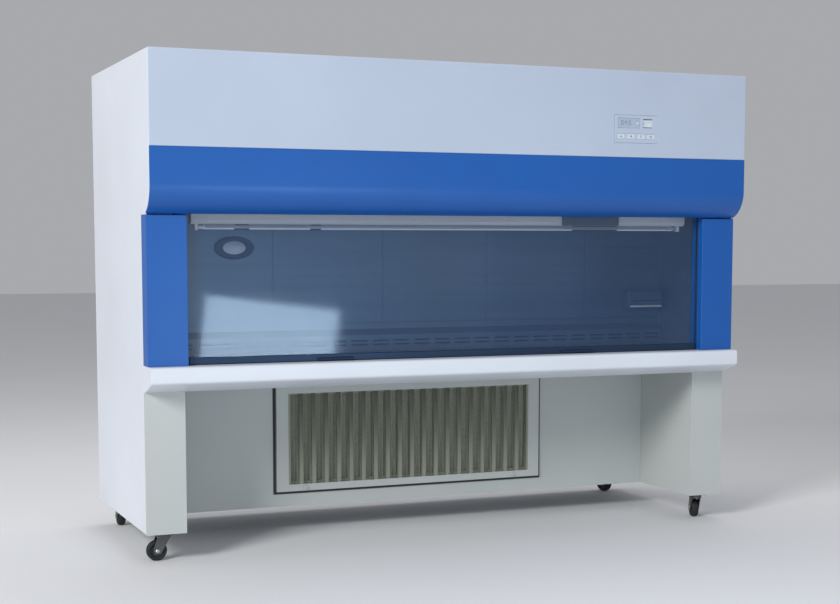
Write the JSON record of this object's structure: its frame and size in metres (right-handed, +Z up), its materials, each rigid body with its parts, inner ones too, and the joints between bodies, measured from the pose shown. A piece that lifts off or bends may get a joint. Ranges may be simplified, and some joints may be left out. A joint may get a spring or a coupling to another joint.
{
  "type": "fume hood",
  "caption": "Wide bench-type fume hood on castors: sliding glass sash, blue header and posts, white nose rail, grilled intake below, filters and blowers behind.",
  "frame": {"origin": "middle of the whole box's base, on the floor under the castors", "axes": "+X to the right seen from the front, +Y from the front to the back, +Z up"},
  "size_m": [2.4, 1, 1.8],
  "materials": {
    "white_paint": "satin powder coat, off-white",
    "grey_paint": "satin powder coat, pale blue-grey",
    "blue_paint": "satin powder coat, strong blue",
    "leg_paint": "satin powder coat, grey-white",
    "stainless": "brushed stainless",
    "galvanised": "dull galvanised sheet",
    "weight_iron": "painted cast iron",
    "anodised": "dark blue anodised",
    "aluminium": "satin anodised",
    "plated_steel": "dark zinc plate",
    "cable_steel": "stranded steel cable",
    "black_plastic": "black moulded plastic",
    "light_plastic": "pale moulded plastic",
    "display": "pale display window",
    "port_rubber": "dark blue-grey rubber",
    "castor_rubber": "black rubber",
    "filter_media": "pleated filter media",
    "sash_glass": "clear float glass, faint blue tint",
    "lamp_glass": "opal lamp tube"
  },
  "bodies": {
    "cabinet": {"side_panel_left": "white_paint", "side_panel_right": "white_paint", "nose_rail": "white_paint", "rear_cover_lower": "white_paint", "rear_cover_upper": "white_paint", "roof_panel": "white_paint", "lamp_housing": "white_paint", "upper_fascia": "grey_paint", "header_band": "blue_paint", "post_left": "blue_paint", "post_right": "blue_paint", "leg_casing_left": "leg_paint", "leg_casing_right": "leg_paint", "lower_front_panel": "leg_paint", "worktop": "stainless", "inner_wall_left": "stainless", "inner_wall_right": "stainless", "back_wall": "stainless", "ceiling_diffuser": "stainless", "base_panel": "galvanised", "bench_deck": "galvanised", "blower_housing_left": "galvanised", "blower_housing_right": "galvanised", "sash_cable_left": "cable_steel", "sash_cable_right": "cable_steel", "weight_cable_left": "cable_steel", "weight_cable_right": "cable_steel", "roof_vent": "black_plastic", "mains_inlet": "black_plastic", "control_bezel": "light_plastic", "socket_box": "light_plastic", "display_window": "display", "service_port": "port_rubber", "supply_filter": "filter_media", "pre_filter": "filter_media", "lamp_tube": "lamp_glass"},
    "sash": {"sash_glass": "sash_glass", "sash_rail": "anodised", "sash_clamp": "anodised"},
    "counterweight_left": {"counterweight_left": "weight_iron"},
    "counterweight_right": {"counterweight_right": "weight_iron"},
    "pulley_left": {"sash_pulley_left": "black_plastic"},
    "pulley_right": {"sash_pulley_right": "black_plastic"},
    "filter_door": {"filter_door": "leg_paint"},
    "socket_flap": {"socket_flap": "light_plastic"},
    "power_rocker": {"power_rocker": "light_plastic"},
    "impeller_left": {"impeller_left": "aluminium"},
    "impeller_right": {"impeller_right": "aluminium"},
    "key_1": {"control_key_1": "light_plastic"},
    "key_2": {"control_key_2": "light_plastic"},
    "key_3": {"control_key_3": "light_plastic"},
    "key_4": {"control_key_4": "light_plastic"},
    "castor_front_left": {"castor_fork_front_left": "plated_steel"},
    "wheel_front_left": {"castor_wheel_front_left": "castor_rubber"},
    "castor_front_right": {"castor_fork_front_right": "plated_steel"},
    "wheel_front_right": {"castor_wheel_front_right": "castor_rubber"},
    "castor_rear_left": {"castor_fork_rear_left": "plated_steel"},
    "wheel_rear_left": {"castor_wheel_rear_left": "castor_rubber"},
    "castor_rear_right": {"castor_fork_rear_right": "plated_steel"},
    "wheel_rear_right": {"castor_wheel_rear_right": "castor_rubber"}
  },
  "joints": [
    {"name": "sash_slide", "type": "slide", "parent": "cabinet", "child": "sash", "axis": [0, 0, 1], "range_m": [0, 0.4], "deforming": ["sash_cable_left", "sash_cable_right"]},
    {"name": "counterweight_left_slide", "type": "slide", "parent": "cabinet", "child": "counterweight_left", "axis": [0, 0, 1], "range_m": [-0.4, 0], "deforming": ["weight_cable_left"]},
    {"name": "counterweight_right_slide", "type": "slide", "parent": "cabinet", "child": "counterweight_right", "axis": [0, 0, 1], "range_m": [-0.4, 0], "deforming": ["weight_cable_right"]},
    {"name": "pulley_left_turn", "type": "hinge", "parent": "cabinet", "child": "pulley_left", "pos_m": [-1.09, -0.37, 1.7], "axis": [0, 1, 0], "range_deg": [-460, 0]},
    {"name": "pulley_right_turn", "type": "hinge", "parent": "cabinet", "child": "pulley_right", "pos_m": [1.09, -0.37, 1.7], "axis": [0, 1, 0], "range_deg": [0, 460]},
    {"name": "filter_door_hinge", "type": "hinge", "parent": "cabinet", "child": "filter_door", "pos_m": [-0.023, 0.014, 0.58], "axis": [-1, 0, 0], "range_deg": [0, 80]},
    {"name": "socket_flap_hinge", "type": "hinge", "parent": "cabinet", "child": "socket_flap", "pos_m": [1.09, 0.0597, 0.933], "axis": [-1, 0, 0], "range_deg": [0, 95]},
    {"name": "power_rocker_tilt", "type": "hinge", "parent": "cabinet", "child": "power_rocker", "pos_m": [0.752, -0.4893, 1.601], "axis": [-1, 0, 0], "range_deg": [0, 14]},
    {"name": "key_1_press", "type": "slide", "parent": "cabinet", "child": "key_1", "axis": [0, 1, 0], "range_m": [0, 0.0015], "stiffness_N_per_m": 800},
    {"name": "key_2_press", "type": "slide", "parent": "cabinet", "child": "key_2", "axis": [0, 1, 0], "range_m": [0, 0.0015], "stiffness_N_per_m": 800},
    {"name": "key_3_press", "type": "slide", "parent": "cabinet", "child": "key_3", "axis": [0, 1, 0], "range_m": [0, 0.0015], "stiffness_N_per_m": 800},
    {"name": "key_4_press", "type": "slide", "parent": "cabinet", "child": "key_4", "axis": [0, 1, 0], "range_m": [0, 0.0015], "stiffness_N_per_m": 800},
    {"name": "impeller_left_spin", "type": "hinge", "parent": "cabinet", "child": "impeller_left", "pos_m": [-0.48, 0.23, 0.31], "axis": [0, 1, 0], "continuous": true},
    {"name": "impeller_right_spin", "type": "hinge", "parent": "cabinet", "child": "impeller_right", "pos_m": [0.48, 0.23, 0.31], "axis": [0, 1, 0], "continuous": true},
    {"name": "castor_front_left_swivel", "type": "hinge", "parent": "cabinet", "child": "castor_front_left", "pos_m": [-1.125, -0.3, 0.095], "axis": [0, 0, 1], "continuous": true},
    {"name": "wheel_front_left_roll", "type": "hinge", "parent": "castor_front_left", "child": "wheel_front_left", "pos_m": [-1.151, -0.3, 0.03718], "axis": [0, -1, 0], "continuous": true},
    {"name": "castor_front_right_swivel", "type": "hinge", "parent": "cabinet", "child": "castor_front_right", "pos_m": [1.125, -0.3, 0.095], "axis": [0, 0, 1], "continuous": true},
    {"name": "wheel_front_right_roll", "type": "hinge", "parent": "castor_front_right", "child": "wheel_front_right", "pos_m": [1.13389, -0.27557, 0.03718], "axis": [-0.9397, 0.342, 0], "continuous": true},
    {"name": "castor_rear_left_swivel", "type": "hinge", "parent": "cabinet", "child": "castor_rear_left", "pos_m": [-1.125, 0.425, 0.095], "axis": [0, 0, 1], "continuous": true},
    {"name": "wheel_rear_left_roll", "type": "hinge", "parent": "castor_rear_left", "child": "wheel_rear_left", "pos_m": [-1.125, 0.451, 0.03718], "axis": [-1, 0, 0], "continuous": true},
    {"name": "castor_rear_right_swivel", "type": "hinge", "parent": "cabinet", "child": "castor_rear_right", "pos_m": [1.125, 0.425, 0.095], "axis": [0, 0, 1], "continuous": true},
    {"name": "wheel_rear_right_roll", "type": "hinge", "parent": "castor_rear_right", "child": "wheel_rear_right", "pos_m": [1.11611, 0.44943, 0.03718], "axis": [-0.9397, -0.342, 0], "continuous": true}
  ],
  "couplings": [
    {"joint": "counterweight_left_slide", "follows": "sash_slide", "ratio": -1},
    {"joint": "counterweight_right_slide", "follows": "sash_slide", "ratio": -1},
    {"joint": "pulley_left_turn", "follows": "sash_slide", "rad_per_m": -20},
    {"joint": "pulley_right_turn", "follows": "sash_slide", "rad_per_m": 20}
  ]
}
